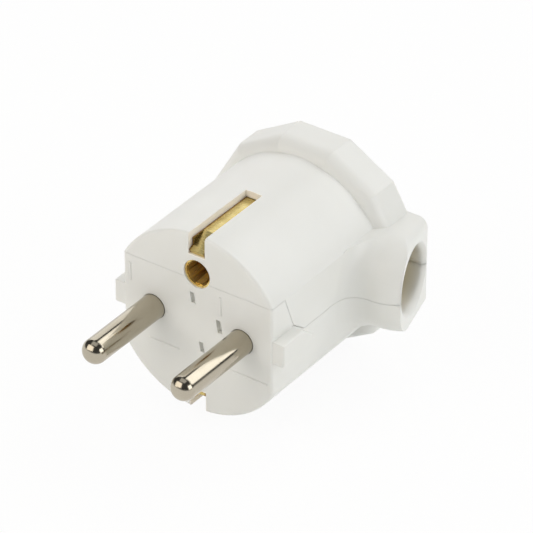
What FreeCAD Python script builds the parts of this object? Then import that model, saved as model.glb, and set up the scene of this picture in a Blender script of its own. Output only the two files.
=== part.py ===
"""Earthed mains plug with two round pins, side contacts, an earth hole and a side cable entry.

Frame, in millimetres: X to the cable side, Y away from the socket, Z up towards the earth hole.
The origin is on the engagement face, midway between the two pins.
"""

import FreeCAD
import Part
import Sketcher
import math
import os

CAP_SIDES = 12

SIZES = {
    # Housing, seen from the socket
    "face_radius": 18.4,
    "flat_depth": 2.4,
    "flat_edge_round": 0.5,
    "face_edge_round": 0.6,
    "body_length": 31.2,
    "wall": 2.2,
    "front_wall": 3.0,
    # Twelve-sided cap at the back
    "cap_length": 8.1,
    "cap_overhang": 2.55,
    "cap_wall": 2.0,
    "cap_front_round": 3.0,
    "cap_edge_round": 0.6,
    # Guide ribs on the flats
    "rib_height": 2.3,
    "rib_half_height": 2.25,
    "rib_straight": 6.2,
    "rib_length": 9.3,
    "rib_set_back": 0.3,
    "rib_edge_round": 0.4,
    # Cable entry
    "entry_inset": 7.3,
    "entry_z": 0.9,
    "entry_bore_radius": 6.2,
    "entry_radius": 8.5,
    "entry_low_corner": 5.0,
    "entry_reach": 10.25,
    "entry_straight": 4.6,
    "entry_bow_radius": 7.8,
    "entry_slant": 15.0,
    "entry_root_round": 4.3,
    "entry_root_margin": 0.3,
    "entry_top_round": 1.9,
    "entry_flare_radius": 6.9,
    "entry_flare_depth": 2.6,
    "entry_flare_shift": 0.35,
    # Parting line between the shells
    "seam_gap": 0.05,
    "face_seam_gap": 0.02,
    "chord_height": 9.05,
    "seam_step": 3.9,
    "rib_seam_gap": 0.2,
    # Pins
    "pin_radius": 2.4,
    "pin_length": 19.0,
    "pin_half_pitch": 9.5,
    "pin_tip_flat": 0.3,
    "pin_neck_radius": 2.2,
    "pin_seat": 1.2,
    "pin_collar_radius": 3.4,
    "pin_head_radius": 3.75,
    "pin_head_front": 4.2,
    "pin_head_back": 13.6,
    "wire_hole_radius": 1.6,
    "wire_hole_depth": 6.6,
    "cradle_front": 6.0,
    "cradle_stop": 1.4,
    "cradle_half_width": 4.7,
    "cradle_drop": 0.3,
    "presser_front": 5.2,
    "presser_back": 7.0,
    "presser_half_width": 1.5,
    # Slotted screws
    "screw_radius": 1.5,
    "screw_head_radius": 2.6,
    "screw_head_height": 1.8,
    "screw_slot_width": 0.7,
    "screw_slot_depth": 0.8,
    "terminal_inset": 3.6,
    "terminal_screw_length": 4.0,
    # Side earth contacts, folded from one strip
    "strip_width": 3.3,
    "strip_thick": 0.8,
    "contact_depth": 1.5,
    "strip_front": 0.05,
    "strip_ramp": 2.0,
    "strip_bend": 4.2,
    "cheek_front": 1.1,
    "cheek_thick": 0.25,
    "strip_run": 3.6,
    "strip_corner_round": 1.6,
    "slot_back": 17.0,
    "leg_half_width": 4.0,
    "leg_margin": 1.0,
    "tab_height": -3.0,
    "tab_gap": 0.4,
    # Earth sleeve behind the hole in the face
    "earth_hole_bridge": 0.98,
    "earth_hole_radius": 2.8,
    "earth_bore_radius": 2.5,
    "earth_sleeve_radius": 3.0,
    "earth_sleeve_front": 0.4,
    "earth_bore_depth": 16.0,
    "earth_slit_width": 0.5,
    "earth_slit_depth": 11.0,
    "rivet_radius": 1.8,
    "rivet_head_radius": 2.6,
    "rivet_head_height": 0.6,
    # Earth terminal
    "earth_screw_length": 3.0,
    "earth_washer_margin": 0.8,
    "earth_washer_thick": 0.8,
    # Cord grip
    "grip_wall_gap": 0.7,
    "grip_end_gap": 0.2,
    "grip_half_pitch": 5.2,
    "grip_half_width": 2.6,
    "grip_thick": 2.0,
    "grip_height": 3.4,
    "grip_ridge": 0.9,
    "grip_ridge_half_width": 0.6,
    "grip_post_radius": 2.2,
    "grip_screw_length": 9.0,
    "saddle_height": -3.4,
    "saddle_half_width": 1.5,
    # Screws that close the housing
    "left_post_y": 24.0,
    "left_post_sink": 1.1,
    "rear_post_gap": 1.5,
    "post_radius": 4.0,
    "recess_radius": 3.1,
    "recess_floor": -10.4,
    "insert_radius": 2.4,
    "insert_bottom": 0.7,
    "insert_length": 7.0,
    "insert_spare": 1.1,
    # Three small slots in the face
    "face_slot_depth": 0.8,
    "face_slot_lean": 0.15,
    "high_slot_x": -0.93,
    "high_slot_z": 5.16,
    "high_slot_width": 0.9,
    "high_slot_height": 2.2,
    "side_slot_x": 4.75,
    "side_slot_z": 1.15,
    "side_slot_width": 1.0,
    "side_slot_height": 2.6,
    "low_slot_x": 0.97,
    "low_slot_z": -4.58,
    "low_slot_width": 0.9,
    "low_slot_height": 2.0,
    # Clearances, and how far a cutting shape runs past what it cuts
    "fit_gap": 0.1,
    "pin_gap": 0.05,
    "thread_gap": 0.05,
    "spare": 1.0,
}

# Sizes and places that follow from the sizes above
FOLLOWING = {
    "flat_half_width": "face_radius - flat_depth",
    "rib_reach": "flat_half_width + rib_height",
    "cap_radius": "face_radius + cap_overhang",
    "cap_flat_radius": f"cap_radius * cos({180 / CAP_SIDES})",
    "cap_round_inside": "cap_front_round - (cap_flat_radius - face_radius)",
    "cap_front": "body_length - cap_front_round + sqrt(cap_front_round ^ 2 - cap_round_inside ^ 2)",
    "cap_back": "body_length + cap_length",
    "room_half_width": "flat_half_width - wall",
    "room_back": "cap_back - cap_wall",
    "entry_y": "cap_back - entry_inset",
    "entry_end": "flat_half_width + entry_reach",
    "entry_bow_start": "flat_half_width + entry_straight",
    "entry_bow_length": "entry_reach - entry_straight",
    "entry_mouth_along": "entry_radius / cos(entry_slant) + entry_flare_shift",
    "pin_stop": "pin_head_back + fit_gap",
    "terminal_y": "pin_head_back - terminal_inset",
    "contact_height": "face_radius - contact_depth",
    "strip_front_height": "contact_height - strip_ramp",
    "ramp_slope": "atan(strip_ramp / (strip_bend - strip_front))",
    "slot_floor": "strip_front_height - strip_thick * cos(ramp_slope)",
    "earth_hole_height": "slot_floor - earth_hole_bridge - earth_hole_radius",
    "leg_back": "slot_back + strip_run",
    "leg_front": "leg_back - strip_thick",
    "leg_top": "earth_hole_height + rivet_head_radius + leg_margin",
    "grip_x": "room_half_width - grip_wall_gap - grip_half_width",
    "grip_y": "room_back - grip_end_gap - grip_half_width - grip_half_pitch",
    "grip_top": "grip_height + grip_thick",
    "left_post_x": "post_radius - left_post_sink - room_half_width",
    "rear_post_x": "grip_x - grip_half_width - rear_post_gap - post_radius",
    "rear_post_y": "room_back - post_radius + fit_gap",
    "tab_back": "rear_post_y - post_radius - tab_gap",
    "earth_screw_y": "(leg_back + tab_back) / 2",
    "washer_top": "tab_height + earth_washer_thick",
    "insert_top": "insert_bottom + insert_length",
}

doc = FreeCAD.newDocument("plug")
sheet = doc.addObject("Spreadsheet::Sheet", "sizes")
for row, (alias, value) in enumerate(SIZES.items(), start=1):
    sheet.set(f"A{row}", alias)
    sheet.set(f"B{row}", str(value))
    sheet.setAlias(f"B{row}", alias)
doc.recompute()


def tied(text):
    """Writes each size's name in an expression as the sheet's own cell."""
    words = []
    word = ""
    for letter in f"{text} ":
        if letter.isalnum() or letter in "_.":
            word += letter
            continue
        if word in FOLLOWING:
            word = f"({tied(FOLLOWING[word])})"
        words.append(f"sizes.{word}" if word in SIZES else word)
        words.append(letter)
        word = ""
    return "".join(words).strip()


def number(text):
    """The value that an expression has now."""
    value = sheet.evalExpression(tied(text))
    return float(getattr(value, "Value", value))


def bind(obj, **properties):
    """Ties an object's properties to expressions over the sizes."""
    for name, text in properties.items():
        obj.setExpression(name, tied(text))
    return obj


def place(obj, x="0", y="0", z="0"):
    """Ties an object's place to expressions over the sizes."""
    for name, text in zip("xyz", (x, y, z)):
        obj.setExpression(f"Placement.Base.{name}", tied(text))
    return obj


# Turns that lay a cylinder, which stands along Z, along another axis
ALONG = {
    "x": FreeCAD.Rotation(FreeCAD.Vector(0, 1, 0), 90),
    "y": FreeCAD.Rotation(FreeCAD.Vector(1, 0, 0), -90),
    "z": FreeCAD.Rotation(),
}

# Turn that stands a sketch up to face along X, and the sections of the boss's bow
FACING_RIGHT = FreeCAD.Rotation(FreeCAD.Vector(1, 1, 1), 120)
BOW_SECTIONS = 4


def rod(name, radius, start, end, along, across):
    """A cylinder along one axis from start to end, at the two other coordinates."""
    obj = doc.addObject("Part::Cylinder", name)
    obj.Placement = FreeCAD.Placement(FreeCAD.Vector(), ALONG[along])
    bind(obj, Radius=radius, Height=f"({end}) - ({start})")
    where = list(across)
    where.insert("xyz".index(along), start)
    return place(obj, *where)


def block(name, low, high):
    """A box between two corners."""
    obj = doc.addObject("Part::Box", name)
    length, width, height = (f"({b}) - ({a})" for a, b in zip(low, high))
    bind(obj, Length=length, Width=width, Height=height)
    return place(obj, *low)


def fuse(name, shapes):
    """Joins shapes into one."""
    obj = doc.addObject("Part::MultiFuse", name)
    obj.Shapes = shapes
    obj.Refine = True
    return obj


def cut(name, base, tools):
    """Takes shapes away from a base."""
    obj = doc.addObject("Part::Cut", name)
    obj.Base = base
    obj.Tool = tools[0] if len(tools) == 1 else fuse(f"{name}_tools", tools)
    obj.Refine = True
    return obj


def common(name, shapes):
    """Keeps what shapes share."""
    obj = doc.addObject("Part::MultiCommon", name)
    obj.Shapes = shapes
    obj.Refine = True
    return obj


def together(name, solids):
    """Groups like solids that stay separate."""
    obj = doc.addObject("Part::Compound", name)
    obj.Links = solids
    return obj


def new_body(name, x="0", y="0", z="0"):
    """An empty body at a point."""
    return place(doc.addObject("PartDesign::Body", name), x, y, z)


def new_sketch(body, name, role):
    """A sketch on one of the body's own origin planes."""
    plane = next(item for item in body.Origin.OriginFeatures if item.Role == role)
    sketch = body.newObject("Sketcher::SketchObject", name)
    sketch.AttachmentSupport = (plane, [""])
    sketch.MapMode = "FlatFace"
    return sketch


def hold(sketch, text, kind, *geometry):
    """Adds a dimension that is tied to an expression."""
    index = sketch.addConstraint(Sketcher.Constraint(kind, *geometry, number(text)))
    sketch.setExpression(f"Constraints[{index}]", tied(text))


def close_outline(sketch, count):
    """Joins the ends of consecutive lines and arcs."""
    for index in range(count):
        sketch.addConstraint(Sketcher.Constraint("Coincident", index, 2, (index + 1) % count, 1))


def draw_lines(sketch, points):
    """Adds the straight lines between consecutive points."""
    corners = [FreeCAD.Vector(*point, 0) for point in points]
    for start, end in zip(corners, corners[1:]):
        sketch.addGeometry(Part.LineSegment(start, end))


def draw_arc(sketch, radius, start, end):
    """Adds an arc about the sketch's origin."""
    circle = Part.Circle(FreeCAD.Vector(), FreeCAD.Vector(0, 0, 1), radius)
    index = sketch.addGeometry(Part.ArcOfCircle(circle, start, end))
    sketch.addConstraint(Sketcher.Constraint("Coincident", index, 3, -1, 1))


def draw_outline(sketch, corners, arcs=None):
    """A closed outline whose corners are held by distances tied to the sizes.

    Its sides are lines, or arcs where a corner's number is given a centre and a radius.
    """
    arcs = arcs or {}
    points = [(number(x), number(y)) for x, y in corners]
    for index, (start, end) in enumerate(zip(points, points[1:] + points[:1])):
        if index not in arcs:
            draw_lines(sketch, [start, end])
            continue
        x, y, radius = (number(text) for text in arcs[index])
        first, last = (math.atan2(point[1] - y, point[0] - x) for point in (start, end))
        circle = Part.Circle(FreeCAD.Vector(x, y, 0), FreeCAD.Vector(0, 0, 1), radius)
        sketch.addGeometry(Part.ArcOfCircle(circle, first, last if last > first else last + 2 * math.pi))
    close_outline(sketch, len(points))
    for index, (x, y) in enumerate(corners):
        hold(sketch, x, "DistanceX", -1, 1, index, 1)
        hold(sketch, y, "DistanceY", -1, 1, index, 1)
    for index, (x, y, radius) in arcs.items():
        hold(sketch, radius, "Radius", index)


def draw_flatted_circle(sketch, radius, half_width):
    """A circle with a flat on its left and its right."""
    r = number(radius)
    w = number(half_width)
    turn = math.acos(w / r)
    h = r * math.sin(turn)
    draw_arc(sketch, r, turn, math.pi - turn)
    draw_lines(sketch, [(-w, h), (-w, -h)])
    draw_arc(sketch, r, math.pi + turn, 2 * math.pi - turn)
    draw_lines(sketch, [(w, -h), (w, h)])
    close_outline(sketch, 4)
    for line in (1, 3):
        sketch.addConstraint(Sketcher.Constraint("Vertical", line))
    sketch.addConstraint(Sketcher.Constraint("Equal", 0, 2))
    hold(sketch, radius, "Radius", 0)
    hold(sketch, half_width, "DistanceX", -1, 1, 3, 1)
    hold(sketch, half_width, "DistanceX", 1, 1, -1, 1)


def draw_arch(sketch, radius, corner, depth):
    """A quarter circle up at the front, a rounded corner down at the front, and a square back."""
    low = f"{corner} - ({radius})"
    corners = [
        ("0", radius),
        (f"-({radius})", "0"),
        (f"-({radius})", low),
        (low, f"-({radius})"),
        (depth, f"-({radius})"),
        (depth, radius),
    ]
    draw_outline(sketch, corners, {0: ("0", "0", radius), 2: (low, low, corner)})


def pad(body, sketch, length, reverse=False, middle=False):
    """Pads a sketch, to its plane's back or to both sides where asked."""
    feature = body.newObject("PartDesign::Pad", f"{sketch.Name}_pad")
    feature.Profile = sketch
    feature.Reversed = reverse
    feature.Midplane = middle
    return bind(feature, Length=length)


def revolve(body, sketch, axis="V_Axis"):
    """Turns a sketch all the way round one of its axes."""
    feature = body.newObject("PartDesign::Revolution", f"{sketch.Name}_turned")
    feature.Profile = sketch
    feature.ReferenceAxis = (sketch, [axis])
    feature.Angle = 360
    return feature


def near(value, target):
    """True where two lengths agree."""
    return abs(value - target) < 1e-4


def round_edges(body, feature, radius, chosen):
    """Rounds the edges of a body's feature that a test picks."""
    doc.recompute()
    names = [f"Edge{i}" for i, edge in enumerate(feature.Shape.Edges, start=1) if chosen(edge)]
    fillet = body.newObject("PartDesign::Fillet", f"{feature.Name}_round")
    fillet.Base = (feature, names)
    return bind(fillet, Radius=radius)


# Outer form of the housing


def make_body_form():
    """The round body with two flats and a softened edge round its face."""
    body = new_body("body_form")
    sketch = new_sketch(body, "face_outline", "XZ_Plane")
    draw_flatted_circle(sketch, "face_radius", "flat_half_width")
    feature = pad(body, sketch, "body_length", reverse=True)
    length = number("body_length")
    feature = round_edges(body, feature, "flat_edge_round", lambda edge: near(edge.Length, length))
    round_edges(body, feature, "face_edge_round", lambda edge: near(edge.BoundBox.YMax, 0))
    return body


def make_rib_form():
    """The guide ribs on both flats: one bar through the body, with a tapered back."""
    body = new_body("rib_form")
    sketch = new_sketch(body, "rib_outline", "YZ_Plane")
    draw_outline(sketch, [
        ("rib_set_back", "rib_half_height"),
        ("rib_set_back", "-rib_half_height"),
        ("rib_straight", "-rib_half_height"),
        ("rib_length", "0"),
        ("rib_straight", "rib_half_height"),
    ])
    feature = pad(body, sketch, "2 * rib_reach", middle=True)
    width = number("2 * rib_reach")
    round_edges(body, feature, "rib_edge_round", lambda edge: not near(edge.BoundBox.XLength, width))
    return body


def make_cap_form():
    """The twelve-sided cap: its front rolls down to the round body, and its back rim is softened."""
    body = new_body("cap_form", y="cap_front")
    sketch = new_sketch(body, "cap_outline", "XZ_Plane")
    turns = [(index + 0.5) * 360 / CAP_SIDES for index in range(CAP_SIDES)]
    draw_outline(sketch, [(f"cap_radius * cos({turn})", f"cap_radius * sin({turn})") for turn in turns])
    feature = pad(body, sketch, "cap_back - cap_front", reverse=True)
    back = number("cap_back - cap_front")
    feature = round_edges(body, feature, "cap_front_round", lambda edge: near(edge.BoundBox.YMax, 0))
    round_edges(body, feature, "cap_edge_round", lambda edge: near(edge.BoundBox.YMin, back))
    return body


def make_entry_form():
    """The boss of the cable entry: a flared root, a bow and a slanted mouth."""
    body = new_body("entry_boss", "room_half_width", "entry_y", "entry_z")
    flare = new_sketch(body, "entry_root", "YZ_Plane")
    wider = "entry_root_round + entry_root_margin"
    draw_arch(flare, f"entry_radius + {wider}", f"entry_low_corner + {wider}", "entry_inset")
    pad(body, flare, "wall")
    arch = new_sketch(body, "entry_arch", "YZ_Plane")
    draw_arch(arch, "entry_radius", "entry_low_corner", "entry_inset")
    feature = pad(body, arch, "entry_bow_start - room_half_width")

    def at_root(edge):
        box = edge.BoundBox
        upright = near(box.XMin, number("wall")) and near(box.XMax, number("wall"))
        reach = max(abs(box.YMin), abs(box.ZMin), abs(box.ZMax))
        inner = reach < number("entry_radius + entry_root_margin")
        return upright and inner and not near(box.YMin, number("entry_inset"))

    round_edges(body, feature, "entry_root_round", at_root)
    whole = fuse("entry_whole", [body, make_entry_bow()])
    return common("entry_form", [whole, make_entry_trim()])


def make_entry_bow():
    """The outer part of the boss: one smooth form through arches that shift back along a bow."""
    arches = []
    for index in range(BOW_SECTIONS):
        out = f"(entry_bow_length * {index} / {BOW_SECTIONS - 1})"
        shift = f"(entry_bow_radius - sqrt(entry_bow_radius ^ 2 - {out} ^ 2))"
        arch = doc.addObject("Sketcher::SketchObject", f"entry_bow_arch_{index + 1}")
        arch.Placement = FreeCAD.Placement(FreeCAD.Vector(), FACING_RIGHT)
        draw_arch(arch, "entry_radius", "entry_low_corner", f"entry_inset - {shift}")
        arches.append(place(arch, f"entry_bow_start + {out}", f"entry_y + {shift}", "entry_z"))
    bow = doc.addObject("Part::Loft", "entry_bow")
    bow.Sections = arches
    bow.Solid = True
    return bow


def make_entry_trim():
    """The space that the boss may fill: level above and below, with a slanted end rounded at its top."""
    body = new_body("entry_trim", y="entry_y", z="entry_z - entry_radius")
    sketch = new_sketch(body, "entry_trim_outline", "XY_Plane")
    corners = []
    for y in ("-2 * entry_radius", "entry_inset"):
        corners.append((f"entry_end - ({y} + entry_radius) * tan(entry_slant)", y))
    draw_outline(sketch, [("0", "-2 * entry_radius"), *corners, ("0", "entry_inset")])
    feature = pad(body, sketch, "2 * entry_radius")
    top = number("2 * entry_radius")

    def at_mouth(edge):
        box = edge.BoundBox
        return near(box.ZMin, top) and not near(box.XLength, 0) and not near(box.YLength, 0)

    round_edges(body, feature, "entry_top_round", at_mouth)
    return body


def make_entry_mouth():
    """The bell that widens the bore at its mouth, square to the boss's slanted end."""
    body = new_body(
        "entry_mouth",
        "entry_end - entry_mouth_along * sin(entry_slant)",
        "entry_y - entry_radius + entry_mouth_along * cos(entry_slant)",
        "entry_z",
    )
    body.Placement.Rotation = FreeCAD.Rotation(FreeCAD.Vector(0, 0, 1), number("entry_slant"))
    bind(body, **{"Placement.Rotation.Angle": "entry_slant"})
    sketch = new_sketch(body, "entry_mouth_outline", "XY_Plane")
    inner = "(entry_bore_radius - entry_flare_shift)"
    rise = f"(entry_flare_radius - {inner})"
    bell = f"(({rise} ^ 2 + entry_flare_depth ^ 2) / (2 * {rise}))"
    corners = [
        ("-entry_flare_depth", "0"),
        ("-entry_flare_depth", inner),
        ("0", "entry_flare_radius"),
        ("spare", "entry_flare_radius + spare"),
        ("spare", "0"),
    ]
    draw_outline(sketch, corners, {1: ("-entry_flare_depth", f"{inner} + {bell}", bell)})
    revolve(body, sketch, "H_Axis")
    return body


# Hollow inside of the housing, and what opens through its walls


def make_cavity():
    """The room for the terminals, the room in the cap and the bore of the cable entry."""
    room = new_body("terminal_room", y="front_wall")
    sketch = new_sketch(room, "room_outline", "XZ_Plane")
    draw_flatted_circle(sketch, "face_radius - wall", "room_half_width")
    pad(room, sketch, "room_back - front_wall", reverse=True)
    cap_room = rod(
        "cap_room", "cap_flat_radius - cap_wall",
        "body_length + cap_wall", "room_back", "y", ("0", "0"),
    )
    bore = rod(
        "entry_bore", "entry_bore_radius",
        "room_half_width - fit_gap", "entry_end + spare", "x", ("entry_y", "entry_z"),
    )
    return fuse("cavity", [room, cap_room, bore, make_entry_mouth()])


def make_contact_slot(name, side):
    """A slot that shows one side contact, and the channel that its strip runs back through."""
    half = "strip_width / 2 + fit_gap"
    spans = (
        ("open", "-spare", "slot_back", "face_radius + spare"),
        ("channel", "front_wall", "leg_back + fit_gap", "contact_height + fit_gap"),
    )
    shapes = []
    for kind, front, back, top in spans:
        heights = ("slot_floor", top) if side > 0 else (f"-({top})", "-slot_floor")
        low = (f"-({half})", front, heights[0])
        shapes.append(block(f"{name}_{kind}", low, (half, back, heights[1])))
    return fuse(name, shapes)


def make_face_openings():
    """The earth hole with the seat of its sleeve, the pin holes with their seats, and three slots."""
    shapes = []
    earth = ("0", "earth_hole_height")
    holes = [
        ("earth_hole", "earth_hole_radius", "-spare", earth),
        ("earth_seat", "earth_sleeve_radius + fit_gap", "earth_sleeve_front", earth),
    ]
    for side, x in PINS:
        holes.append((f"{side}_hole", "pin_radius + pin_gap", "-spare", (x, "0")))
        holes.append((f"{side}_seat", "pin_collar_radius + fit_gap", "pin_seat", (x, "0")))
    for name, radius, front, at in holes:
        shapes.append(rod(name, radius, front, "front_wall + spare", "y", at))
    for name in ("high_slot", "side_slot", "low_slot"):
        slot = new_body(name, f"{name}_x", "-spare", f"{name}_z")
        sketch = new_sketch(slot, f"{name}_outline", "XZ_Plane")
        corners = []
        for x, z in ((-0.5, 0.5), (0.5, 0.5), (0.5, -0.5), (-0.5, -0.5)):
            lean = f"{z} * {name}_height * face_slot_lean"
            corners.append((f"{x} * {name}_width - ({lean})", f"{z} * {name}_height"))
        draw_outline(sketch, corners)
        pad(slot, sketch, "face_slot_depth + spare", reverse=True)
        shapes.append(slot)
    return shapes


def make_upper_region(name, gap, face_gap):
    """Everything above the parting line: level with the pins, then up in front of the ribs."""
    body = new_body(name, y=gap, z=gap)
    sketch = new_sketch(body, f"{name}_outline", "YZ_Plane")
    far = "2 * cap_back"
    chord = f"chord_height + {face_gap} - {gap}"
    draw_outline(sketch, [
        ("-2 * spare", chord),
        ("seam_step", chord),
        ("rib_straight + rib_seam_gap", "rib_half_height + rib_seam_gap"),
        ("rib_length + 2 * rib_seam_gap", "0"),
        (far, "0"),
        (far, far),
        ("-2 * spare", far),
    ])
    pad(body, sketch, f"2 * {far}", middle=True)
    return body


# Screws and posts stand along Z at these points
PINS = (("left", "-pin_half_pitch"), ("right", "pin_half_pitch"))
HOUSING_POSTS = (("left_post_x", "left_post_y"), ("rear_post_x", "rear_post_y"))
GRIP_POSTS = (("grip_x", "grip_y - grip_half_pitch"), ("grip_x", "grip_y + grip_half_pitch"))


def make_shells():
    """The two mouldings of the housing, parted along the seam."""
    forms = [make_body_form(), make_rib_form(), make_cap_form(), make_entry_form()]
    outer = fuse("outer_form", forms)
    openings = make_face_openings()
    openings += [make_contact_slot("top_slot", 1), make_contact_slot("bottom_slot", -1)]
    hollow = cut("open_form", cut("hollow_form", outer, [make_cavity()]), openings)
    return make_lower_shell(outer, hollow), make_upper_shell(outer, hollow)


def make_lower_shell(outer, hollow):
    """The lower moulding: front wall, ribs, pin cradles, cord saddle and the posts."""
    half = cut("lower_half", hollow, [make_upper_region("lower_seam", "0", "0")])
    floor = "-2 * face_radius"
    inside = []
    holes = []
    for side, x in PINS:
        low = (f"{x} - cradle_half_width", "cradle_front", floor)
        high = (f"{x} + cradle_half_width", "pin_stop + cradle_stop", "-cradle_drop")
        inside.append(block(f"{side}_cradle", low, high))
        trough = ("front_wall", "pin_stop")
        holes.append(rod(f"{side}_trough", "pin_head_radius + fit_gap", *trough, "y", (x, "0")))
        wire = ("pin_stop", "pin_stop + cradle_stop + spare")
        holes.append(rod(f"{side}_wire_way", "wire_hole_radius + fit_gap", *wire, "y", (x, "0")))
    low = ("grip_x - saddle_half_width", "grip_y - grip_half_pitch", floor)
    high = ("grip_x + saddle_half_width", "grip_y + grip_half_pitch", "saddle_height")
    inside.append(block("cord_saddle", low, high))
    for index, at in enumerate(GRIP_POSTS, start=1):
        inside.append(rod(f"grip_post_{index}", "grip_post_radius", floor, "grip_height", "z", at))
        pilot = ("grip_top - grip_screw_length - spare", "grip_height + spare")
        holes.append(rod(f"grip_pilot_{index}", "screw_radius + thread_gap", *pilot, "z", at))
    for index, at in enumerate(HOUSING_POSTS, start=1):
        inside.append(rod(f"lower_post_{index}", "post_radius", floor, "0", "z", at))
        holes.append(rod(f"screw_recess_{index}", "recess_radius", floor, "recess_floor", "z", at))
        holes.append(rod(f"screw_way_{index}", "screw_radius + fit_gap", "recess_floor", "spare", "z", at))
    posts = common("lower_inside", [fuse("lower_inside_forms", inside), outer])
    return cut("lower_shell", fuse("lower_moulding", [half, posts]), holes)


def make_upper_shell(outer, hollow):
    """The upper moulding: the crescent of the face, pin pressers and the posts with the inserts."""
    half = common("upper_half", [hollow, make_upper_region("upper_seam", "seam_gap", "face_seam_gap")])
    roof = "2 * face_radius"
    inside = []
    holes = []
    for side, x in PINS:
        low = (f"{x} - presser_half_width", "presser_front", "pin_head_radius + fit_gap")
        inside.append(block(f"{side}_presser", low, (f"{x} + presser_half_width", "presser_back", roof)))
    for index, at in enumerate(HOUSING_POSTS, start=1):
        inside.append(rod(f"upper_post_{index}", "post_radius", "0", roof, "z", at))
        seat = ("-spare", "insert_top")
        holes.append(rod(f"insert_hole_{index}", "insert_radius + thread_gap", *seat, "z", at))
    posts = common("upper_inside", [fuse("upper_inside_forms", inside), outer])
    return cut("upper_shell", fuse("upper_moulding", [half, posts]), holes)


# Metal pieces


def make_screw(name, at, seat, length, upward=False):
    """A slotted screw along Z whose head sits on its seat, with the shank down or up from there."""
    way = 1 if upward else -1
    levels = {
        "shank": ("screw_radius", seat, f"({seat}) + {way} * ({length})"),
        "head": ("screw_head_radius", seat, f"({seat}) - {way} * screw_head_height"),
    }
    rods = []
    for part, (radius, start, end) in levels.items():
        low, high = (start, end) if number(start) < number(end) else (end, start)
        rods.append(rod(f"{name}_{part}", radius, low, high, "z", at))
    top = f"({seat}) - {way} * screw_head_height"
    ends = [f"{top} + {way} * screw_slot_depth", f"{top} - {way} * spare"]
    low_z, high_z = sorted(ends, key=number)
    low = (f"({at[0]}) - screw_head_radius - spare", f"({at[1]}) - screw_slot_width / 2", low_z)
    high = (f"({at[0]}) + screw_head_radius + spare", f"({at[1]}) + screw_slot_width / 2", high_z)
    return cut(name, fuse(f"{name}_turned", rods), [block(f"{name}_slot", low, high)])


def make_pin(side, x):
    """A turned pin: rounded tip, neck in the front wall, collar behind it and a wire terminal."""
    body = new_body(f"{side}_pin_turned", x=x)
    sketch = new_sketch(body, f"{side}_pin_outline", "XY_Plane")
    draw_outline(sketch, [
        ("0", "-pin_length"),
        ("pin_radius", "-pin_length"),
        ("pin_radius", "0"),
        ("pin_neck_radius", "0"),
        ("pin_neck_radius", "pin_seat"),
        ("pin_collar_radius", "pin_seat"),
        ("pin_collar_radius", "pin_head_front"),
        ("pin_head_radius", "pin_head_front"),
        ("pin_head_radius", "pin_head_back"),
        ("0", "pin_head_back"),
    ])
    feature = revolve(body, sketch)
    tip = number("-pin_length")
    round_edges(body, feature, "pin_radius - pin_tip_flat", lambda edge: near(edge.BoundBox.YMax, tip))
    wire = ("pin_head_back - wire_hole_depth", "pin_head_back + spare")
    screw = ("0", "pin_head_radius + spare")
    holes = [
        rod(f"{side}_wire_hole", "wire_hole_radius", *wire, "y", (x, "0")),
        rod(f"{side}_screw_hole", "screw_radius + thread_gap", *screw, "z", (x, "terminal_y")),
    ]
    return cut(f"{side}_pin", body, holes)


def make_terminal_screws():
    """One screw down into each pin's terminal."""
    screws = []
    for side, x in PINS:
        at = (x, "terminal_y")
        screws.append(make_screw(f"{side}_terminal_screw", at, "pin_head_radius", "terminal_screw_length"))
    return together("terminal_screws", screws)


def make_earth_bracket():
    """One strip folded round the inside: ramped contacts above and below, joined by an upright leg."""
    body = new_body("earth_strip")
    sketch = new_sketch(body, "strip_outline", "YZ_Plane")
    upper = [
        ("leg_back", "contact_height"),
        ("strip_bend", "contact_height"),
        ("strip_front", "strip_front_height"),
        ("strip_front + strip_thick * sin(ramp_slope)", "strip_front_height - strip_thick * cos(ramp_slope)"),
        ("strip_bend + strip_thick * tan(ramp_slope / 2)", "contact_height - strip_thick"),
        ("leg_front", "contact_height - strip_thick"),
    ]
    lower = [(y, f"-({z})") for y, z in reversed(upper)]
    draw_outline(sketch, upper + lower)
    feature = pad(body, sketch, "strip_width", middle=True)
    folds = (("leg_back", "strip_corner_round"), ("leg_front", "strip_corner_round - strip_thick"))
    for side, radius in folds:
        feature = round_edges(body, feature, radius, lambda edge, y=number(side): is_fold(edge, y))
    plate = new_sketch(body, "leg_outline", "YZ_Plane")
    draw_outline(plate, [
        ("leg_front", "leg_top"),
        ("leg_front", "tab_height - strip_thick"),
        ("tab_back", "tab_height - strip_thick"),
        ("tab_back", "tab_height"),
        ("leg_back", "tab_height"),
        ("leg_back", "leg_top"),
    ])
    pad(body, plate, "2 * leg_half_width", middle=True)
    whole = fuse("earth_strip_with_cheeks", [body, *make_contact_cheeks()])
    holes = [
        rod(
            "rivet_hole", "rivet_radius + thread_gap",
            "leg_front - spare", "leg_back + spare", "y", ("0", "earth_hole_height"),
        ),
        rod(
            "earth_screw_hole", "screw_radius + thread_gap",
            "tab_height - strip_thick - spare", "tab_height + spare", "z", ("0", "earth_screw_y"),
        ),
    ]
    return cut("earth_bracket", whole, holes)


def make_contact_cheeks():
    """The upstanding cheeks on both sides of each contact's ramp."""
    sunk = "strip_thick / 2"
    ramp = "strip_front_height + (cheek_front - strip_front) * tan(ramp_slope)"
    upper = [
        ("cheek_front", "contact_height"),
        ("cheek_front", f"{ramp} - {sunk}"),
        ("strip_bend", f"contact_height - {sunk}"),
        ("strip_bend", "contact_height"),
    ]
    lower = [(y, f"-({z})") for y, z in upper]
    cheeks = []
    for contact, corners in (("top", upper), ("bottom", lower)):
        for side, x in (("left", "-strip_width / 2"), ("right", "strip_width / 2 - cheek_thick")):
            name = f"{contact}_{side}_cheek"
            cheek = new_body(name, x=x)
            sketch = new_sketch(cheek, f"{name}_outline", "YZ_Plane")
            draw_outline(sketch, corners)
            pad(cheek, sketch, "cheek_thick")
            cheeks.append(cheek)
    return cheeks


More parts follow.
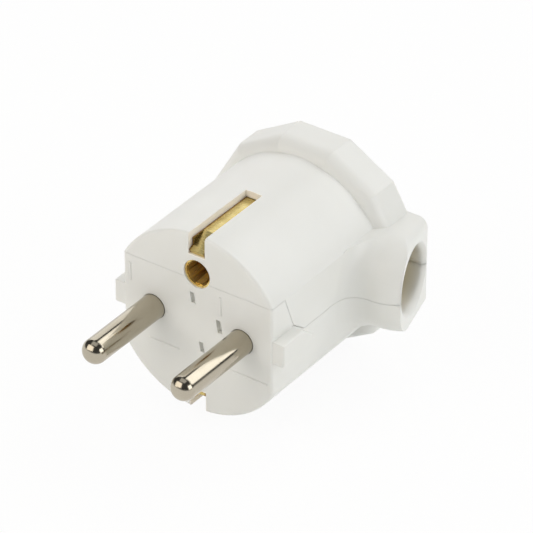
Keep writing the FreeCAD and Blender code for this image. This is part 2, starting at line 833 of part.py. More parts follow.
def is_fold(edge, y):
    """True for an edge across the strip at one of the leg's two ends."""
    box = edge.BoundBox
    across = box.XLength > number("strip_thick") and near(box.YMin, y) and near(box.YMax, y)
    return across and abs(box.ZMin) > number("contact_height - 2 * strip_thick")


def make_earth_socket():
    """The slit sleeve that takes the socket's earth pin, riveted to the leg at its closed end."""
    body = new_body("earth_sleeve", z="earth_hole_height")
    sketch = new_sketch(body, "sleeve_outline", "XY_Plane")
    draw_outline(sketch, [
        ("0", "earth_sleeve_front + earth_bore_depth"),
        ("earth_bore_radius", "earth_sleeve_front + earth_bore_depth"),
        ("earth_bore_radius", "earth_sleeve_front"),
        ("earth_sleeve_radius", "earth_sleeve_front"),
        ("earth_sleeve_radius", "leg_front"),
        ("rivet_radius", "leg_front"),
        ("rivet_radius", "leg_back"),
        ("rivet_head_radius", "leg_back"),
        ("rivet_head_radius", "leg_back + rivet_head_height"),
        ("0", "leg_back + rivet_head_height"),
    ])
    revolve(body, sketch)
    slit = block(
        "earth_slit",
        ("-earth_slit_width / 2", "earth_sleeve_front - spare", "earth_hole_height"),
        (
            "earth_slit_width / 2",
            "earth_sleeve_front + earth_slit_depth",
            "earth_hole_height + earth_sleeve_radius + spare",
        ),
    )
    return cut("earth_socket", body, [slit])


def make_earth_terminal():
    """The square washer on the bracket's tab, and the screw through it."""
    half_width = "(leg_half_width - earth_washer_margin)"
    low = (f"-{half_width}", "leg_back + earth_washer_margin", "tab_height")
    high = (half_width, "tab_back - earth_washer_margin", "washer_top")
    at = ("0", "earth_screw_y")
    hole = rod("washer_hole", "screw_radius + fit_gap", "tab_height - spare", "washer_top + spare", "z", at)
    washer = cut("earth_washer", block("washer_plate", low, high), [hole])
    return washer, make_screw("earth_screw", at, "washer_top", "earth_screw_length")


def make_cord_grip():
    """The bar that presses the cable on its saddle, and its two screws."""
    ends = []
    holes = []
    for index, at in enumerate(GRIP_POSTS, start=1):
        ends.append(rod(f"grip_end_{index}", "grip_half_width", "grip_height", "grip_top", "z", at))
        through = ("grip_height - spare", "grip_top + spare")
        holes.append(rod(f"grip_hole_{index}", "screw_radius + fit_gap", *through, "z", at))
    plate = block(
        "grip_plate",
        ("grip_x - grip_half_width", "grip_y - grip_half_pitch", "grip_height"),
        ("grip_x + grip_half_width", "grip_y + grip_half_pitch", "grip_top"),
    )
    inset = "grip_half_pitch - grip_post_radius - fit_gap"
    ridge = block(
        "grip_ridge_bar",
        ("grip_x - grip_ridge_half_width", f"grip_y - ({inset})", "grip_height - grip_ridge"),
        ("grip_x + grip_ridge_half_width", f"grip_y + {inset}", "grip_height"),
    )
    bar = cut("cord_grip_bar", fuse("grip_moulding", [plate, ridge, *ends]), holes)
    screws = []
    for index, at in enumerate(GRIP_POSTS, start=1):
        screws.append(make_screw(f"grip_screw_{index}", at, "grip_top", "grip_screw_length"))
    return bar, together("cord_grip_screws", screws)


def make_housing_fasteners():
    """The screws that enter from the underside, and the threaded inserts that take them."""
    screws = []
    inserts = []
    for index, at in enumerate(HOUSING_POSTS, start=1):
        length = "insert_top - insert_spare - (recess_floor)"
        screws.append(make_screw(f"housing_screw_{index}", at, "recess_floor", length, upward=True))
        bush = rod(f"insert_bush_{index}", "insert_radius", "insert_bottom", "insert_top", "z", at)
        through = ("0", "insert_top + spare")
        thread = rod(f"insert_thread_{index}", "screw_radius + thread_gap", *through, "z", at)
        inserts.append(cut(f"threaded_insert_{index}", bush, [thread]))
    return together("housing_screws", screws), together("threaded_inserts", inserts)


def check(pieces):
    """Stops where an object failed or a piece has no sound shape."""
    for obj in doc.Objects:
        if "Invalid" in obj.State or "Error" in obj.State:
            raise RuntimeError(f"{obj.Name} failed: {obj.State}")
    for piece in pieces:
        if piece.Shape.isNull() or not piece.Shape.isValid() or not piece.Shape.Solids:
            raise RuntimeError(f"{piece.Label} has no sound solid")


def main():
    """Builds every piece, checks it and writes it under its own name."""
    pieces = [*make_shells()]
    pieces += [make_pin(side, x) for side, x in PINS]
    pieces += [make_terminal_screws(), make_earth_bracket(), make_earth_socket()]
    pieces += [*make_earth_terminal(), *make_cord_grip(), *make_housing_fasteners()]
    doc.recompute()
    check(pieces)
    os.makedirs("parts", exist_ok=True)
    for piece in pieces:
        piece.Shape.exportStep(f"parts/{piece.Label}.step")
        print(f"{piece.Label}: {len(piece.Shape.Solids)} solid, {piece.Shape.Volume:.1f} mm3")


main()
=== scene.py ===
"""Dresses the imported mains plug.

Its plastic and metal get their finishes, its face the raised moulded lines, its earth sleeve the
spring leaves, and the scene its floor, light and camera.
"""

import math

import bmesh
import bpy
from mathutils import Matrix, Vector


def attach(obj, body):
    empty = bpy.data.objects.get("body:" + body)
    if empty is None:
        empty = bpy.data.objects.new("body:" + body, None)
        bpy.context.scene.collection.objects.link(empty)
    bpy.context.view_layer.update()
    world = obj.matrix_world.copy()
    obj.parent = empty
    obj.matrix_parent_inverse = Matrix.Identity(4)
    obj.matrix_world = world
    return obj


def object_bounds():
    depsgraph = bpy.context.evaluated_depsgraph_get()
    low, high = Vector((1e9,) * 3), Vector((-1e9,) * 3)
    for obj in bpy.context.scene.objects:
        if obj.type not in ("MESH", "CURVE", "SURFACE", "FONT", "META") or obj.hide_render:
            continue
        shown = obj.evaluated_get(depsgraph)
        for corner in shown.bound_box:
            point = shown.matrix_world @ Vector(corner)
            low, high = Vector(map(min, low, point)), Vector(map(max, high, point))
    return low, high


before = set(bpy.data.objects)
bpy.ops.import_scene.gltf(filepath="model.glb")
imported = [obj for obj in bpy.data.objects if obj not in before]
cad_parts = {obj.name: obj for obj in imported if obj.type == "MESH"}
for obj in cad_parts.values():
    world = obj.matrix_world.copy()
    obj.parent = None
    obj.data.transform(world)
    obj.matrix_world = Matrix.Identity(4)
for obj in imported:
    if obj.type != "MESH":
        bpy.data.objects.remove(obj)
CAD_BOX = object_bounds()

bl_info = {
    "name": "Mains Plug Dresser",
    "version": (1, 0, 0),
    "blender": (4, 5, 0),
    "location": "3D View > Sidebar > Plug",
    "description": "Gives a packed mains plug its finishes, moulded marks, light and camera",
    "category": "Object",
}

MM = 0.001
WHITE = "#FFFFFF"

# Colour sockets of a Mix node, by number because its other data types share their names
MIX_SHARE, MIX_FROM, MIX_TO, MIX_RESULT = 0, 6, 7, 2

# Cable bore: its axis back and up, its radius, how many radii wide its flare is, how soft that
# flare's edges look, and the slanted plane of its mouth
BORE_AXIS_MM = (32.0, 0.9)
BORE_RADIUS_MM = 6.2
BORE_FLARE = 1.2
FLARE_SOFTNESS_MM = 2
MOUTH_SLANT = math.radians(15)
MOUTH_NORMAL = (math.cos(MOUTH_SLANT), math.sin(MOUTH_SLANT), 0.0)
MOUTH_LEVEL_MM = 30.9

# Where the bore's painted shade starts and where it is full: across the plug, which also bounds the
# bore's soft flare, and in from the mouth
BORE_SIDE_MM = (13, 17)
BORE_SHADE_MM = (0.5, 7)

# Earth slots, whose walls get painted light: reach to each side, to the back, and least height
# above or below the middle
SLOT_SIDE_MM = 1.8
SLOT_BACK_MM = 17.1
SLOT_FLOOR_MM = 14.0

# Earth strip: half its width, and how far from its sheared edges its brown painted shade starts
# and is full
STRIP_EDGE_MM = 1.65
EDGE_SHADE_MM = (0.4, 0.1)

# Tones of pieces that hardly show: light, dark, and for plastic also the painted shade deep in the
# bore and the painted light on the slot walls by the brass
GRIP_TONES = ("#DAD8D0", "#CFCDC4", "#C4BCA2", "#DAD8D0")
SLEEVE_TONES = ("#FFE79C", "#DEB14C")
SCREW_TONES = ("#C9CBCC", "#B4B7BA")

# Raised lines: their ends, across and up, how deep they are rooted in the wall, the facets of the
# rod that they are cut from, and how near the cut a point counts as on it, in metres
MARK_ENDS_MM = {
    "left_border": ((-14.5, 3.7), (-14.5, 7.4)),
    "right_border": ((5.0, 3.7), (5.0, 7.5)),
    "left_underline": ((-10.6, -7.0), (-4.0, -7.0)),
    "right_underline": ((6.6, -7.0), (15.0, -7.0)),
}
MARK_ROOT_MM = 0.25
MARK_FACETS = 96
MARK_CUT_M = 1e-7

# Spring leaves in the earth sleeve: height of its axis, and each leaf's depth range, distance from
# the axis and half width at its front end, share of that width lost at its back end, half turns of
# the sine that bows it, steps along it, and the angle from which its edges are sharp
EARTH_AXIS_MM = 10.4
LEAF_DEPTHS_MM = (0.7, 7.5)
LEAF_FRONT_MM = 2.33
LEAF_HALF_WIDTH_MM = 0.75
LEAF_TAPER = 0.3
LEAF_HALF_TURNS = 0.8
LEAF_STEPS = 10
LEAF_SHARP = math.radians(40)

# Floor: half its side in metres, how far it lies under the plug, and the share of plain white in a
# look at it, beside the lit paper that takes the shadow
FLOOR_HALF_M = 3.0
FLOOR_GAP_MM = 0.05
FLOOR_WHITE = 0.93

# Room: level of its even fill, and what metal sees of it, a white horizon that is gone at the
# height SWEEP_TOP, the sine of an angle, and the level above that
FILL_LEVEL = 0.36
SWEEP_TOP = 0.12
ROOM_LEVEL = 0.06

# Soft panels that face the plug: place, direction of the long side, size in metres, power in watts
# and colour. The front one is a little warm, which warms the face and the front of the cable entry.
PANELS = (
    ("top_panel", (-0.1, -0.05, 0.9), (1.0, 0.0, 0.0), (0.8, 0.6), 0.9, WHITE),
    ("right_back_panel", (0.35, 0.68, 0.64), (0.88, 0.0, -0.48), (1.05, 0.5), 3.5, WHITE),
    ("left_back_panel", (-0.6, 0.68, 0.42), (0.6, 0.0, 0.8), (0.8, 0.6), 1.9, WHITE),
    ("front_panel", (-0.2, -0.38, 0.27), (1.0, 0.0, 0.0), (0.5, 0.4), 1.15, "#FFF8F0"),
    ("right_panel", (0.9, 0.03, 0.36), (0.0, 1.0, 0.0), (0.6, 0.5), 2.35, WHITE),
)

# Width of the camera's sensor
SENSOR_MM = 36.0


def linear(code):
    """An sRGB hex colour as linear light, opaque."""
    parts = [int(code[at:at + 2], 16) / 255 for at in (1, 3, 5)]
    light = [c / 12.92 if c <= 0.04045 else ((c + 0.055) / 1.055) ** 2.4 for c in parts]
    return (*light, 1.0)


def add_node(tree, kind, inputs=None, **settings):
    """Adds a node, sets its options, and gives its inputs values or other nodes' outputs."""
    made = tree.nodes.new(kind)
    for name, value in settings.items():
        setattr(made, name, value)
    for name, value in (inputs or {}).items():
        if isinstance(value, bpy.types.NodeSocket):
            tree.links.new(value, made.inputs[name])
        else:
            made.inputs[name].default_value = value
    return made


def new_material(name):
    """A material with no nodes yet, and its node tree."""
    material = bpy.data.materials.new(name)
    material.use_nodes = True
    material.node_tree.nodes.clear()
    return material, material.node_tree


def per_metre(size_mm):
    """The scale of a noise whose features are that many millimetres across."""
    return 1 / (size_mm * MM)


def bands_per_metre(pitch_mm):
    """The scale of a wave texture whose bands repeat at that pitch: at 1 they are pi / 10 apart."""
    return math.pi / 10 / (pitch_mm * MM)


# Finishes


def inside_bore(tree, place):
    """1 on the wall of the cable bore, fading over its flare to 0 on every other surface."""
    beside = add_node(tree, "ShaderNodeMapping", {
        "Vector": place,
        "Location": (0.0, -BORE_AXIS_MM[0] * MM, -BORE_AXIS_MM[1] * MM),
        "Scale": (0.0, 1.0, 1.0),
    })
    from_axis = add_node(tree, "ShaderNodeVectorMath", {
        0: beside.outputs["Vector"],
    }, operation="LENGTH")
    within = add_node(tree, "ShaderNodeMapRange", {
        "Value": from_axis.outputs["Value"],
        "From Min": BORE_FLARE * BORE_RADIUS_MM * MM,
        "From Max": BORE_RADIUS_MM * MM,
    })
    cable_side = add_node(tree, "ShaderNodeMapRange", {
        "Value": add_node(tree, "ShaderNodeSeparateXYZ", {"Vector": place}).outputs["X"],
        "From Min": BORE_SIDE_MM[0] * MM,
        "From Max": BORE_SIDE_MM[1] * MM,
    })
    return add_node(tree, "ShaderNodeMath", {
        0: within.outputs["Result"],
        1: cable_side.outputs["Result"],
    }, operation="MULTIPLY").outputs["Value"]


def bore_depth(tree, place, inside):
    """How deep in the cable bore a point lies, for painted shade: 0 outside it and at its mouth, 1
    at its foot.
    """
    along = add_node(tree, "ShaderNodeVectorMath", {
        0: place,
        1: MOUTH_NORMAL,
    }, operation="DOT_PRODUCT")
    depth = add_node(tree, "ShaderNodeMapRange", {
        "Value": along.outputs["Value"],
        "From Min": (MOUTH_LEVEL_MM - BORE_SHADE_MM[0]) * MM,
        "From Max": (MOUTH_LEVEL_MM - BORE_SHADE_MM[1]) * MM,
    })
    return add_node(tree, "ShaderNodeMath", {
        0: inside,
        1: depth.outputs["Result"],
    }, operation="MULTIPLY").outputs["Value"]


def inside_slot(tree, place):
    """1 on the walls of the two earth slots, which get painted light, 0 on every other surface."""
    reach = add_node(tree, "ShaderNodeVectorMath", {0: place}, operation="ABSOLUTE")
    parts = add_node(tree, "ShaderNodeSeparateXYZ", {"Vector": reach.outputs["Vector"]}).outputs
    beside = add_node(tree, "ShaderNodeMath", {
        0: parts["X"],
        1: SLOT_SIDE_MM * MM,
    }, operation="LESS_THAN")
    before = add_node(tree, "ShaderNodeMath", {
        0: parts["Y"],
        1: SLOT_BACK_MM * MM,
    }, operation="LESS_THAN")
    over = add_node(tree, "ShaderNodeMath", {
        0: parts["Z"],
        1: SLOT_FLOOR_MM * MM,
    }, operation="GREATER_THAN")
    both = add_node(tree, "ShaderNodeMath", {
        0: beside.outputs["Value"],
        1: before.outputs["Value"],
    }, operation="MULTIPLY")
    return add_node(tree, "ShaderNodeMath", {
        0: both.outputs["Value"],
        1: over.outputs["Value"],
    }, operation="MULTIPLY").outputs["Value"]


def moulded_abs(name, colours, roughness, peel_mm, edge_mm):
    """ABS, injection moulded in a polished tool.

    It gives the eye a warm white with a broad soft gloss, the faint orange peel of shrinkage,
    edges softened by the tool, and a little light that spreads under the surface. Deep in the cable
    bore its colour turns darker and towards straw: painted shade. The thin walls of the earth slots
    are made lighter and warmer: painted light, for the warm light that the brass throws back.
    """
    material, tree = new_material(name)
    place = add_node(tree, "ShaderNodeTexCoord").outputs["Object"]
    tone = add_node(tree, "ShaderNodeTexNoise", {
        "Vector": place,
        "Scale": per_metre(size_mm=14),
        "Detail": 3.0,
    })
    colour = add_node(tree, "ShaderNodeMix", {
        MIX_SHARE: tone.outputs["Fac"],
        MIX_FROM: linear(colours[0]),
        MIX_TO: linear(colours[1]),
    }, data_type="RGBA")
    inside = inside_bore(tree, place)
    # Painted shade: deeper in the cable bore the colour turns darker and towards straw
    bore_shaded = add_node(tree, "ShaderNodeMix", {
        MIX_SHARE: bore_depth(tree, place, inside),
        MIX_FROM: colour.outputs[MIX_RESULT],
        MIX_TO: linear(colours[2]),
    }, data_type="RGBA")
    # Painted light: the earth slots' walls turn lighter and warmer, for the light the brass throws
    # back
    slot_lit = add_node(tree, "ShaderNodeMix", {
        MIX_SHARE: inside_slot(tree, place),
        MIX_FROM: bore_shaded.outputs[MIX_RESULT],
        MIX_TO: linear(colours[3]),
    }, data_type="RGBA")
    flow = add_node(tree, "ShaderNodeTexNoise", {
        "Vector": place,
        "Scale": per_metre(size_mm=5),
        "Detail": 4.0,
    })
    gloss = add_node(tree, "ShaderNodeMapRange", {
        "Value": flow.outputs["Fac"],
        "From Min": 0.3,
        "From Max": 0.7,
        "To Min": roughness - 0.05,
        "To Max": roughness + 0.05,
    })
    edge = add_node(tree, "ShaderNodeMapRange", {
        "Value": inside,
        "To Min": edge_mm * MM,
        "To Max": FLARE_SOFTNESS_MM * MM,
    })
    soft_edge = add_node(tree, "ShaderNodeBevel", {"Radius": edge.outputs["Result"]}, samples=8)
    peel = add_node(tree, "ShaderNodeTexNoise", {
        "Vector": place,
        "Scale": per_metre(peel_mm),
        "Detail": 2.0,
    })
    skin = add_node(tree, "ShaderNodeBump", {
        "Height": peel.outputs["Fac"],
        "Strength": 0.12,
        "Distance": 0.02 * MM,
        "Normal": soft_edge.outputs["Normal"],
    })
    shader = add_node(tree, "ShaderNodeBsdfPrincipled", {
        "Base Color": slot_lit.outputs[MIX_RESULT],
        "Roughness": gloss.outputs["Result"],
        "Normal": skin.outputs["Normal"],
        "IOR": 1.54,
        "Subsurface Weight": 0.12,
        "Subsurface Radius": (1.0, 0.9, 0.75),
        "Subsurface Scale": 0.6 * MM,
    })
    add_node(tree, "ShaderNodeOutputMaterial", {"Surface": shader.outputs["BSDF"]})
    return material


def turned_nickel(name, colours, roughness, pitch_mm):
    """Brass pins, turned and then nickel plated and polished.

    The eye sees a warm grey mirror with hard dark and bright streaks along the pin, faint rings
    from the lathe and fine rubbing along its length. Lathe rings of 0.05 mm are drawn coarser to
    show.
    """
    material, tree = new_material(name)
    place = add_node(tree, "ShaderNodeTexCoord").outputs["Object"]
    rings = add_node(tree, "ShaderNodeTexWave", {
        "Vector": place,
        "Scale": bands_per_metre(pitch_mm),
        "Distortion": 0.6,
        "Detail": 1.0,
    }, bands_direction="Y")
    along = add_node(tree, "ShaderNodeMapping", {"Vector": place, "Scale": (1.0, 0.04, 1.0)})
    rubbing = add_node(tree, "ShaderNodeTexNoise", {
        "Vector": along.outputs["Vector"],
        "Scale": per_metre(size_mm=0.35),
        "Detail": 3.0,
    })
    bloom = add_node(tree, "ShaderNodeTexNoise", {
        "Vector": place,
        "Scale": per_metre(size_mm=4),
        "Detail": 4.0,
    })
    colour = add_node(tree, "ShaderNodeMix", {
        MIX_SHARE: bloom.outputs["Fac"],
        MIX_FROM: linear(colours[0]),
        MIX_TO: linear(colours[1]),
    }, data_type="RGBA")
    gloss = add_node(tree, "ShaderNodeMapRange", {
        "Value": rubbing.outputs["Fac"],
        "From Min": 0.35,
        "From Max": 0.75,
        "To Min": roughness,
        "To Max": roughness + 0.1,
    })
    soft_edge = add_node(tree, "ShaderNodeBevel", {"Radius": 0.15 * MM}, samples=6)
    skin = add_node(tree, "ShaderNodeBump", {
        "Height": rings.outputs["Fac"],
        "Strength": 0.05,
        "Distance": 0.01 * MM,
        "Normal": soft_edge.outputs["Normal"],
    })
    shader = add_node(tree, "ShaderNodeBsdfPrincipled", {
        "Base Color": colour.outputs[MIX_RESULT],
        "Metallic": 1.0,
        "Roughness": gloss.outputs["Result"],
        "Normal": skin.outputs["Normal"],
    })
    add_node(tree, "ShaderNodeOutputMaterial", {"Surface": shader.outputs["BSDF"]})
    return material


def rolled_brass(name, colours, roughness, grain_mm):
    """Brass strip, cold rolled and left bare.

    The eye sees a yellow metal with fine lines from the mill across the strip, a slight brown bloom
    where it has been handled, and brown painted shade along its sheared edges. Lines of 0.1 mm are
    drawn coarser to show.
    """
    material, tree = new_material(name)
    place = add_node(tree, "ShaderNodeTexCoord").outputs["Object"]
    across = add_node(tree, "ShaderNodeMapping", {"Vector": place, "Scale": (0.05, 1.0, 1.0)})
    grain = add_node(tree, "ShaderNodeTexNoise", {
        "Vector": across.outputs["Vector"],
        "Scale": per_metre(grain_mm),
        "Detail": 4.0,
    })
    bloom = add_node(tree, "ShaderNodeTexNoise", {
        "Vector": place,
        "Scale": per_metre(size_mm=2.5),
        "Detail": 4.0,
    })
    stain = add_node(tree, "ShaderNodeMapRange", {
        "Value": bloom.outputs["Fac"],
        "From Min": 0.3,
        "From Max": 0.9,
    })
    colour = add_node(tree, "ShaderNodeMix", {
        MIX_SHARE: stain.outputs["Result"],
        MIX_FROM: linear(colours[0]),
        MIX_TO: linear(colours[1]),
    }, data_type="RGBA")
    from_middle = add_node(tree, "ShaderNodeMath", {
        0: add_node(tree, "ShaderNodeSeparateXYZ", {"Vector": place}).outputs["X"],
    }, operation="ABSOLUTE")
    # Painted shade: brown along both sheared edges of the strip
    edge_shade = add_node(tree, "ShaderNodeMapRange", {
        "Value": from_middle.outputs["Value"],
        "From Min": (STRIP_EDGE_MM - EDGE_SHADE_MM[0]) * MM,
        "From Max": (STRIP_EDGE_MM - EDGE_SHADE_MM[1]) * MM,
    })
    edge_shaded = add_node(tree, "ShaderNodeMix", {
        MIX_SHARE: edge_shade.outputs["Result"],
        MIX_FROM: colour.outputs[MIX_RESULT],
        MIX_TO: linear(colours[2]),
    }, data_type="RGBA")
    gloss = add_node(tree, "ShaderNodeMapRange", {
        "Value": grain.outputs["Fac"],
        "From Min": 0.3,
        "From Max": 0.7,
        "To Min": roughness - 0.03,
        "To Max": roughness + 0.04,
    })
    skin = add_node(tree, "ShaderNodeBump", {
        "Height": grain.outputs["Fac"],
        "Strength": 0.02,
        "Distance": 0.01 * MM,
    })
    shader = add_node(tree, "ShaderNodeBsdfPrincipled", {
        "Base Color": edge_shaded.outputs[MIX_RESULT],
        "Metallic": 1.0,
        "Roughness": gloss.outputs["Result"],
        "Normal": skin.outputs["Normal"],
    })
    add_node(tree, "ShaderNodeOutputMaterial", {"Surface": shader.outputs["BSDF"]})
    return material


def drawn_brass(name, colours, roughness):
    """Brass sleeve, deep drawn and left with the thin oxide of its last anneal.

    The eye sees amber: bright metal where the film is thin, and a soft brown body colour where it
    is thick, with fine lines from the draw along the sleeve.
    """
    material, tree = new_material(name)
    place = add_node(tree, "ShaderNodeTexCoord").outputs["Object"]
    along = add_node(tree, "ShaderNodeMapping", {"Vector": place, "Scale": (1.0, 0.05, 1.0)})
    lines = add_node(tree, "ShaderNodeTexNoise", {
        "Vector": along.outputs["Vector"],
        "Scale": per_metre(size_mm=1.2),
        "Detail": 2.0,
    })
    film = add_node(tree, "ShaderNodeMapRange", {
        "Value": lines.outputs["Fac"],
        "From Min": 0.35,
        "From Max": 0.65,
    })
    colour = add_node(tree, "ShaderNodeMix", {
        MIX_SHARE: film.outputs["Result"],
        MIX_FROM: linear(colours[0]),
        MIX_TO: linear(colours[1]),
    }, data_type="RGBA")
    bare = add_node(tree, "ShaderNodeMapRange", {
        "Value": film.outputs["Result"],
        "To Min": 0.9,
        "To Max": 0.45,
    })
    shader = add_node(tree, "ShaderNodeBsdfPrincipled", {
        "Base Color": colour.outputs[MIX_RESULT],
        "Metallic": bare.outputs["Result"],
        "Roughness": roughness,
    })
    add_node(tree, "ShaderNodeOutputMaterial", {"Surface": shader.outputs["BSDF"]})
    return material


def zinc_steel(name, colours, roughness):
    """Steel screws, cold headed and zinc plated.

    The eye sees a cool grey with a soft sheen, clouded by the plating and slightly blue.
    """
    material, tree = new_material(name)
    place = add_node(tree, "ShaderNodeTexCoord").outputs["Object"]
    cloud = add_node(tree, "ShaderNodeTexNoise", {
        "Vector": place,
        "Scale": per_metre(size_mm=0.8),
        "Detail": 4.0,
    })
    colour = add_node(tree, "ShaderNodeMix", {
        MIX_SHARE: cloud.outputs["Fac"],
        MIX_FROM: linear(colours[0]),
        MIX_TO: linear(colours[1]),
    }, data_type="RGBA")
    gloss = add_node(tree, "ShaderNodeMapRange", {
        "Value": cloud.outputs["Fac"],
        "To Min": roughness - 0.08,
        "To Max": roughness + 0.08,
    })
    shader = add_node(tree, "ShaderNodeBsdfPrincipled", {
        "Base Color": colour.outputs[MIX_RESULT],
        "Metallic": 1.0,
        "Roughness": gloss.outputs["Result"],
    })
    add_node(tree, "ShaderNodeOutputMaterial", {"Surface": shader.outputs["BSDF"]})
    return material


def mirror_rays(tree, rays):
    """1 for a ray that metal or glass sends on, 0 for any other."""
    return add_node(tree, "ShaderNodeMath", {
        0: rays["Is Glossy Ray"],
        1: rays["Is Transmission Ray"],
    }, operation="MAXIMUM").outputs["Value"]


def matt_paper(name, colour):
    """Paper, uncoated and matt.

    The eye sees an even pale ground, nearly white in itself and in metal, with the plug's soft
    shadow on it.
    """
    material, tree = new_material(name)
    paper = add_node(tree, "ShaderNodeBsdfDiffuse", {"Color": linear(colour)})
    white = add_node(tree, "ShaderNodeEmission", {"Color": linear(WHITE), "Strength": 1.0})
    rays = add_node(tree, "ShaderNodeLightPath").outputs
    looked_at = add_node(tree, "ShaderNodeMath", {
        0: rays["Is Camera Ray"],
        1: mirror_rays(tree, rays),
    }, operation="MAXIMUM")
    seen = add_node(tree, "ShaderNodeMath", {
        0: looked_at.outputs["Value"],
        1: FLOOR_WHITE,
    }, operation="MULTIPLY")
    mixed = add_node(tree, "ShaderNodeMixShader", {
        0: seen.outputs["Value"],
        1: paper.outputs["BSDF"],
        2: white.outputs["Emission"],
    })
    add_node(tree, "ShaderNodeOutputMaterial", {"Surface": mixed.outputs["Shader"]})
    return material


# Pieces and stage


def dress(names, material):
    """Puts a finish on frame nodes."""
    for name in names:
        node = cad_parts[name]
        node.data.materials.clear()
        node.data.materials.append(material)


def place_mesh(name, form, material):
    """Makes an object of a finished form and puts it in the scene."""
    mesh = bpy.data.meshes.new(name)
    form.to_mesh(mesh)
    form.free()
    mesh.materials.append(material)
    placed = bpy.data.objects.new(name, mesh)
    bpy.context.scene.collection.objects.link(placed)
    return placed


def make_bead(name, ends, marks, material):
    """A low bead on the face between two points: the side of a round rod, rooted in the wall."""
    start, end = (Vector((x, 0.0, z)) * MM for x, z in ends)
    radius = (marks.width ** 2 / 4 + marks.height ** 2) / (2 * marks.height)
    form = bmesh.new()
    bmesh.ops.create_cone(
        form, cap_ends=True, segments=MARK_FACETS, radius1=radius, radius2=radius,
        depth=(end - start).length)
    turn = Vector((0.0, 0.0, 1.0)).rotation_difference(end - start).to_matrix().to_4x4()
    middle = (start + end) / 2 + Vector((0.0, radius - marks.height, 0.0))
    form.transform(Matrix.Translation(middle) @ turn)
    bmesh.ops.bisect_plane(
        form, geom=[*form.verts, *form.edges, *form.faces], dist=MARK_CUT_M,
        plane_co=(0.0, MARK_ROOT_MM * MM, 0.0), plane_no=(0.0, 1.0, 0.0), clear_outer=True)
    bmesh.ops.holes_fill(form, edges=[edge for edge in form.edges if edge.is_boundary])
    return place_mesh(name, form, material)


def make_leaves(name, leaves, material):
    """A ring of thin leaves, fixed to the sleeve at their front ends, that bow into the bore."""
    form = bmesh.new()
    front, back = LEAF_DEPTHS_MM
    for index in range(leaves.count):
        angle = math.tau * (index + 0.5) / leaves.count
        outward = Vector((math.cos(angle), 0.0, math.sin(angle)))
        across = Vector((-math.sin(angle), 0.0, math.cos(angle)))
        sections = []
        for step in range(LEAF_STEPS + 1):
            part = step / LEAF_STEPS
            middle = Vector((0.0, front + (back - front) * part, EARTH_AXIS_MM)) * MM
            bowed = leaves.bow * math.sin(LEAF_HALF_TURNS * math.pi * part)
            inner = LEAF_FRONT_MM * MM - bowed
            outer = inner + leaves.thickness
            half = LEAF_HALF_WIDTH_MM * (1 - LEAF_TAPER * part) * MM
            corners = ((inner, -half), (inner, half), (outer, half), (outer, -half))
            sections.append([
                form.verts.new(middle + outward * out + across * side) for out, side in corners])
        for near, far in zip(sections, sections[1:]):
            for corner in range(len(near)):
                after = (corner + 1) % len(near)
                form.faces.new((near[corner], near[after], far[after], far[corner]))
        form.faces.new(sections[0])
        form.faces.new(sections[-1])
    bmesh.ops.recalc_face_normals(form, faces=form.faces)
    ring = place_mesh(name, form, material)
    ring.data.shade_smooth()
    ring.data.set_sharp_from_angle(angle=LEAF_SHARP)
    return ring


def make_floor(stage):
    """A plain pale floor under the plug."""
    form = bmesh.new()
    bmesh.ops.create_grid(form, x_segments=1, y_segments=1, size=FLOOR_HALF_M)
    floor = place_mesh("floor", form, matt_paper("pale_paper_floor", stage.floor_hex))
    floor.location.z = CAD_BOX[0][2] - FLOOR_GAP_MM * MM


def make_room(scene):
    """Even fill, with a white sweep at the horizon and a dark room above it in metal."""
    world = bpy.data.worlds.new("studio_room")
    scene.world = world
    world.use_nodes = True
    tree = world.node_tree
    tree.nodes.clear()
    rays = add_node(tree, "ShaderNodeLightPath").outputs
    way = add_node(tree, "ShaderNodeTexCoord").outputs["Generated"]
    sweep = add_node(tree, "ShaderNodeMapRange", {
        "Value": add_node(tree, "ShaderNodeSeparateXYZ", {"Vector": way}).outputs["Z"],
        "From Min": 0.0,
        "From Max": SWEEP_TOP,
        "To Min": 1.0,
        "To Max": ROOM_LEVEL,
    })
    level = add_node(tree, "ShaderNodeMapRange", {
        "Value": mirror_rays(tree, rays),
        "To Min": FILL_LEVEL,
        "To Max": sweep.outputs["Result"],
    })
    seen = add_node(tree, "ShaderNodeMath", {
        0: rays["Is Camera Ray"],
        1: level.outputs["Result"],
    }, operation="MAXIMUM")
    room = add_node(tree, "ShaderNodeBackground", {
        "Color": linear(WHITE),
        "Strength": seen.outputs["Value"],
    })
    add_node(tree, "ShaderNodeOutputWorld", {"Surface": room.outputs["Background"]})


def make_panels(scene):
    """The soft panels, each turned to face the plug."""
    for name, at, side, size, power, colour in PANELS:
        lamp = bpy.data.lights.new(name, "AREA")
        lamp.shape = "RECTANGLE"
        lamp.size, lamp.size_y = size
        lamp.energy = power
        lamp.color = linear(colour)[:3]
        holder = bpy.data.objects.new(name, lamp)
        away = Vector(at).normalized()
        across = (Vector(side) - away * away.dot(Vector(side))).normalized()
        turned = Matrix((across, away.cross(across), away)).transposed().to_4x4()
        holder.matrix_world = Matrix.Translation(Vector(at)) @ turned
        scene.collection.objects.link(holder)


def make_camera(scene, stage):
    """The camera at the photograph's angle, with the lens that gives its perspective."""
    turn, rise = stage.azimuth, stage.elevation
    flat = math.cos(rise)
    back = Vector((math.sin(turn) * flat, -math.cos(turn) * flat, math.sin(rise)))
    level = Vector((math.cos(turn), math.sin(turn), 0.0))
    upright = back.cross(level)
    right = level * math.cos(stage.roll) + upright * math.sin(stage.roll)
    up = upright * math.cos(stage.roll) - level * math.sin(stage.roll)
    data = bpy.data.cameras.new("photo_camera")
    data.lens = stage.lens
    data.sensor_width = SENSOR_MM
    camera = bpy.data.objects.new("photo_camera", data)
    where = back * stage.distance + right * stage.pan[0] + up * stage.pan[1]
    turned = Matrix((right, up, back)).transposed().to_4x4()
    camera.matrix_world = Matrix.Translation(where) @ turned
    scene.collection.objects.link(camera)
    scene.camera = camera


# Sizes and colours that a user would change


